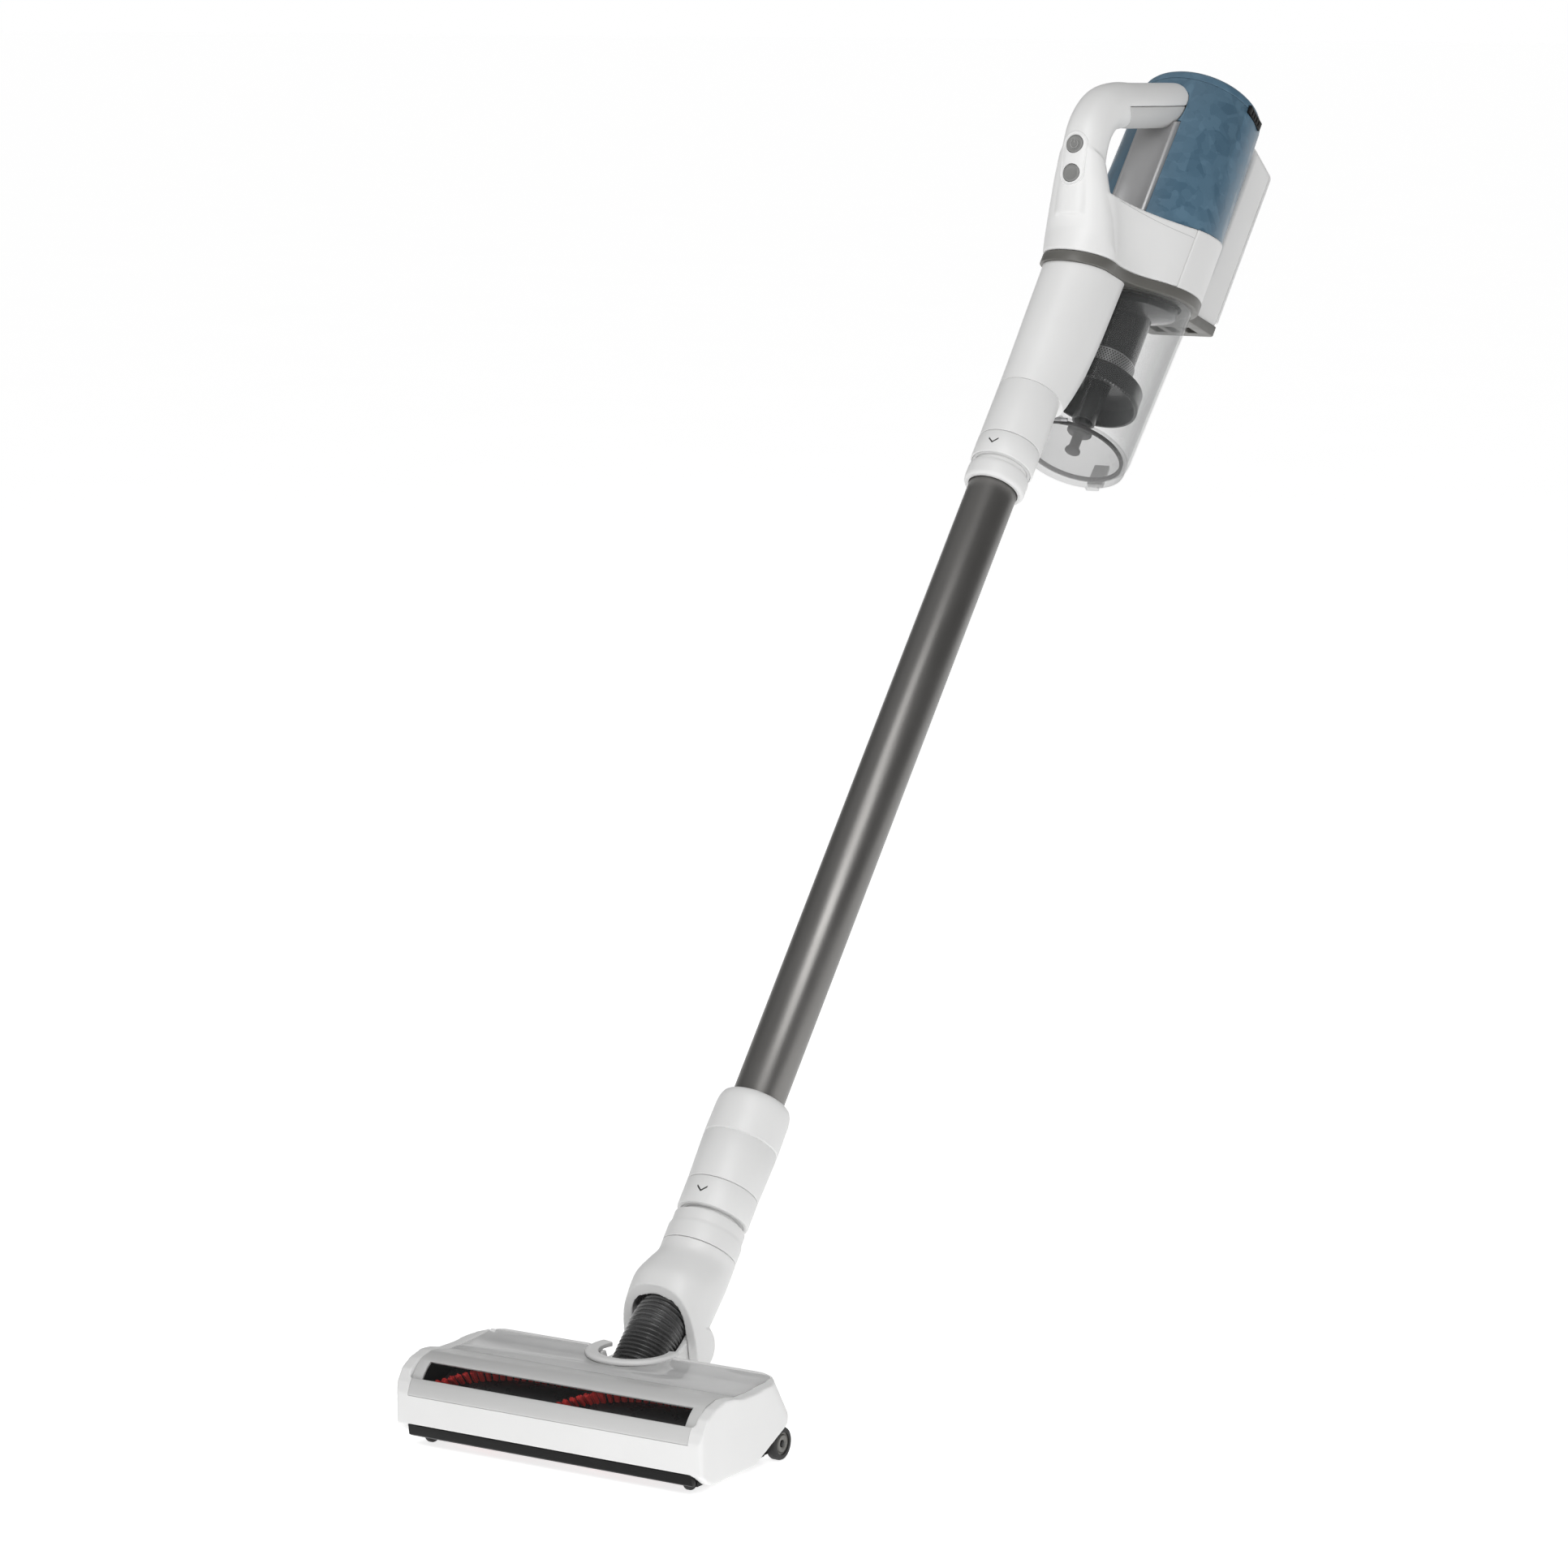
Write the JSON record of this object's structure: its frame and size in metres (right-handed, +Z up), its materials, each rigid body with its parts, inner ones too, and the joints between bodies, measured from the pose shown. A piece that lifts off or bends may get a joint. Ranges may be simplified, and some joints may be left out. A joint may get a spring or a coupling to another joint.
{
  "type": "cordless stick vacuum cleaner",
  "caption": "Cordless stick vacuum cleaner: hand unit with loop handle and clear dust bin, long suction tube, jointed neck and a motorised floor head.",
  "frame": {"origin": "floor level under the middle of the whole object, on its plane of symmetry", "axes": "+Z up from the floor, -Y the way the floor head faces, +X across the floor head"},
  "size_m": [0.2294, 0.9269, 0.8437],
  "materials": {
    "white_plastic": "satin",
    "grey_plastic": "satin",
    "dark_grey_plastic": "satin",
    "black_plastic": "fine grain",
    "clear_plastic": "polished",
    "blue_plastic": "satin with faint facets",
    "grey_aluminium": "anodised satin",
    "steel": "machined",
    "rubber": "matt",
    "filter_felt": "felt",
    "red_bristle": "bristle",
    "green_board": "circuit board",
    "cell_wrap": "shrink wrap"
  },
  "bodies": {
    "hand_unit": {"front_housing": "white_plastic", "grip_inset": "grey_plastic", "rear_housing": "white_plastic", "battery_door": "white_plastic", "door_screw": "steel", "battery_cell_1": "cell_wrap", "battery_cell_2": "cell_wrap", "battery_cell_3": "cell_wrap", "battery_cell_4": "cell_wrap", "circuit_board": "green_board", "bin_flange": "dark_grey_plastic", "inlet_duct": "white_plastic", "motor_cover": "blue_plastic", "spine_plate": "grey_plastic", "motor_can": "steel", "inlet_filter": "filter_felt", "exhaust_filter": "filter_felt"},
    "mode_key": {"mode_button": "grey_plastic"},
    "power_key": {"power_button": "grey_plastic"},
    "cap_catch": {"cap_latch": "black_plastic"},
    "cap": {"filter_cap": "blue_plastic"},
    "fan": {"impeller": "dark_grey_plastic"},
    "upper_sleeve": {"upper_release_sleeve": "white_plastic"},
    "bin": {"dust_bin": "clear_plastic", "cyclone_tube": "dark_grey_plastic", "cyclone_shroud": "steel", "cyclone_skirt": "dark_grey_plastic", "lid_pin": "steel"},
    "lid": {"bin_lid": "clear_plastic", "fine_dust_plug": "black_plastic"},
    "lid_catch": {"bin_latch": "grey_plastic"},
    "tube": {"suction_tube": "grey_aluminium", "tube_spigot": "white_plastic", "tube_collar": "white_plastic"},
    "lower_sleeve": {"lower_release_sleeve": "white_plastic"},
    "neck": {"neck_spigot": "white_plastic"},
    "knee": {"elbow": "white_plastic", "pivot_pin_left": "steel", "pivot_pin_right": "steel"},
    "head": {"head_shell": "white_plastic", "head_base": "black_plastic", "bumper_strip": "rubber", "head_cover": "clear_plastic", "deck_plate": "grey_plastic", "neck_ring": "white_plastic", "neck_yoke": "white_plastic", "suction_duct": "dark_grey_plastic", "neck_hose": "rubber", "brush_bearing": "steel", "brush_motor": "steel", "drive_belt": "rubber"},
    "brush": {"brush_core": "black_plastic", "bristle_row_1": "red_bristle", "bristle_row_2": "red_bristle", "bristle_row_3": "red_bristle"},
    "pulley": {"motor_pulley": "steel"},
    "wheel_left": {"rear_wheel_left": "rubber"},
    "wheel_right": {"rear_wheel_right": "rubber"},
    "roller_left": {"front_roller_left": "rubber"},
    "roller_right": {"front_roller_right": "rubber"}
  },
  "joints": [
    {"name": "mode_press", "type": "slide", "parent": "hand_unit", "child": "mode_key", "axis": [0, 0.967, -0.2548], "range_m": [0, 0.0012], "stiffness_N_per_m": 300, "springref_m": -0.002},
    {"name": "power_press", "type": "slide", "parent": "hand_unit", "child": "power_key", "axis": [0, 0.967, -0.2548], "range_m": [0, 0.0012], "stiffness_N_per_m": 300, "springref_m": -0.002},
    {"name": "cap_catch_press", "type": "slide", "parent": "hand_unit", "child": "cap_catch", "axis": [-1, 0, 0], "range_m": [0, 0.0012], "stiffness_N_per_m": 300, "springref_m": -0.002},
    {"name": "cap_lift", "type": "slide", "parent": "hand_unit", "child": "cap", "axis": [0, 0.6341, 0.7733], "range_m": [0, 0.04]},
    {"name": "fan_spin", "type": "hinge", "parent": "hand_unit", "child": "fan", "pos_m": [0, 0.32614, 0.7283], "axis": [0, 0.6341, 0.7733], "continuous": true},
    {"name": "upper_sleeve_pull", "type": "slide", "parent": "hand_unit", "child": "upper_sleeve", "axis": [0, -0.6341, -0.7733], "range_m": [0, 0.0033], "stiffness_N_per_m": 400, "springref_m": -0.002},
    {"name": "bin_pull", "type": "slide", "parent": "hand_unit", "child": "bin", "axis": [0, -0.6341, -0.7733], "range_m": [0, 0.19]},
    {"name": "lid_open", "type": "hinge", "parent": "bin", "child": "lid", "pos_m": [0, 0.17229, 0.60422], "axis": [-1, 0, 0], "range_deg": [0, 80]},
    {"name": "lid_catch_press", "type": "hinge", "parent": "bin", "child": "lid_catch", "pos_m": [0, 0.24825, 0.56391], "axis": [1, 0, 0], "range_deg": [0, 12], "stiffness_Nm_per_rad": 0.05, "springref_deg": -11.46},
    {"name": "tube_pull", "type": "slide", "parent": "hand_unit", "child": "tube", "axis": [0, -0.6341, -0.7733], "range_m": [0, 0.05]},
    {"name": "lower_sleeve_pull", "type": "slide", "parent": "tube", "child": "lower_sleeve", "axis": [0, -0.6341, -0.7733], "range_m": [0, 0.0033], "stiffness_N_per_m": 400, "springref_m": -0.002},
    {"name": "neck_pull", "type": "slide", "parent": "tube", "child": "neck", "axis": [0, -0.6341, -0.7733], "range_m": [0, 0.048]},
    {"name": "neck_twist", "type": "hinge", "parent": "neck", "child": "knee", "pos_m": [0, -0.28801, 0.10073], "axis": [0, 0.6341, 0.7733], "range_deg": [-45, 45]},
    {"name": "head_pitch", "type": "hinge", "parent": "knee", "child": "head", "pos_m": [0, -0.32505, 0.04924], "axis": [1, 0, 0], "range_deg": [-36, 40], "deforming": ["neck_hose"]},
    {"name": "brush_spin", "type": "hinge", "parent": "head", "child": "brush", "pos_m": [0, -0.4318, 0.0272], "axis": [1, 0, 0], "continuous": true},
    {"name": "pulley_spin", "type": "hinge", "parent": "head", "child": "pulley", "pos_m": [0, -0.3898, 0.027], "axis": [1, 0, 0], "continuous": true},
    {"name": "wheel_left_roll", "type": "hinge", "parent": "head", "child": "wheel_left", "pos_m": [-0.1086, -0.3653, 0.0105], "axis": [1, 0, 0], "continuous": true},
    {"name": "roller_left_roll", "type": "hinge", "parent": "head", "child": "roller_left", "pos_m": [-0.0968, -0.448, 0.0068], "axis": [1, 0, 0], "continuous": true},
    {"name": "wheel_right_roll", "type": "hinge", "parent": "head", "child": "wheel_right", "pos_m": [0.1086, -0.3653, 0.0105], "axis": [1, 0, 0], "continuous": true},
    {"name": "roller_right_roll", "type": "hinge", "parent": "head", "child": "roller_right", "pos_m": [0.0968, -0.448, 0.0068], "axis": [1, 0, 0], "continuous": true}
  ],
  "couplings": [
    {"joint": "pulley_spin", "follows": "brush_spin", "ratio": 1.9}
  ]
}
